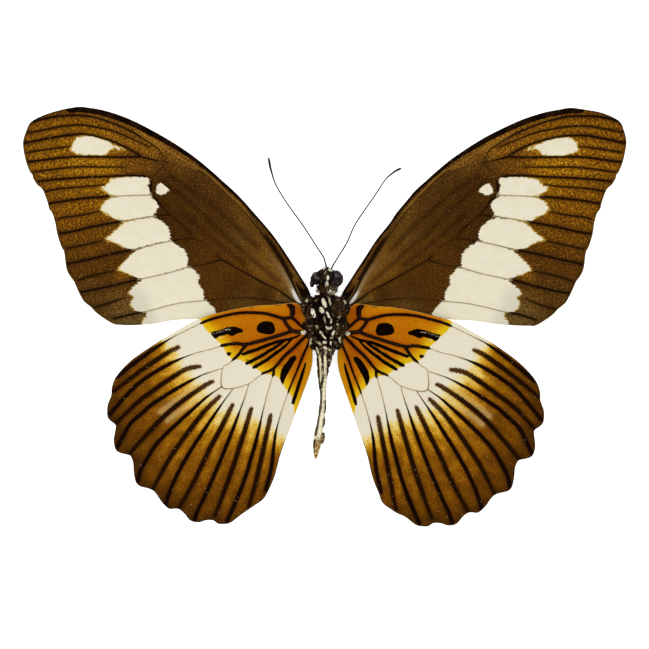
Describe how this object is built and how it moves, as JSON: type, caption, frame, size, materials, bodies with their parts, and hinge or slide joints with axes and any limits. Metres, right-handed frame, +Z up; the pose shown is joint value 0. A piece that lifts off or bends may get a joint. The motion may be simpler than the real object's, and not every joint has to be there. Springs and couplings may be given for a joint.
{
  "type": "spread butterfly specimen",
  "caption": "Dried swallowtail butterfly spread flat, underside up, with cream-banded brown wings, orange hindwing bases, slim body and clubbed antennae.",
  "frame": {"origin": "on the flat back of the thorax, midway between the wing roots", "axes": "+Z up, which is the way the underside faces; +Y towards the head; +X towards the wings on the right as seen from above"},
  "size_m": [0.0903, 0.0628, 0.0064],
  "materials": {
    "forewing_scales": "matt powdery brown scales with black veins and cream bands",
    "hindwing_scales": "matt powdery scales, orange base, cream band, striped brown border",
    "body_hair": "black-brown skin with short hair and cream spots",
    "head_shell": "dark skin and hair with dull glossy eyes",
    "abdomen_scales": "cream and ochre scales over a dark dry skin",
    "antenna_shell": "dull black horny shell"
  },
  "bodies": {
    "root": {"thorax": "body_hair", "head": "head_shell", "abdomen": "abdomen_scales", "antenna_left": "antenna_shell", "antenna_right": "antenna_shell", "forewing_left": "forewing_scales", "forewing_right": "forewing_scales", "hindwing_left": "hindwing_scales", "hindwing_right": "hindwing_scales"}
  },
  "joints": []
}
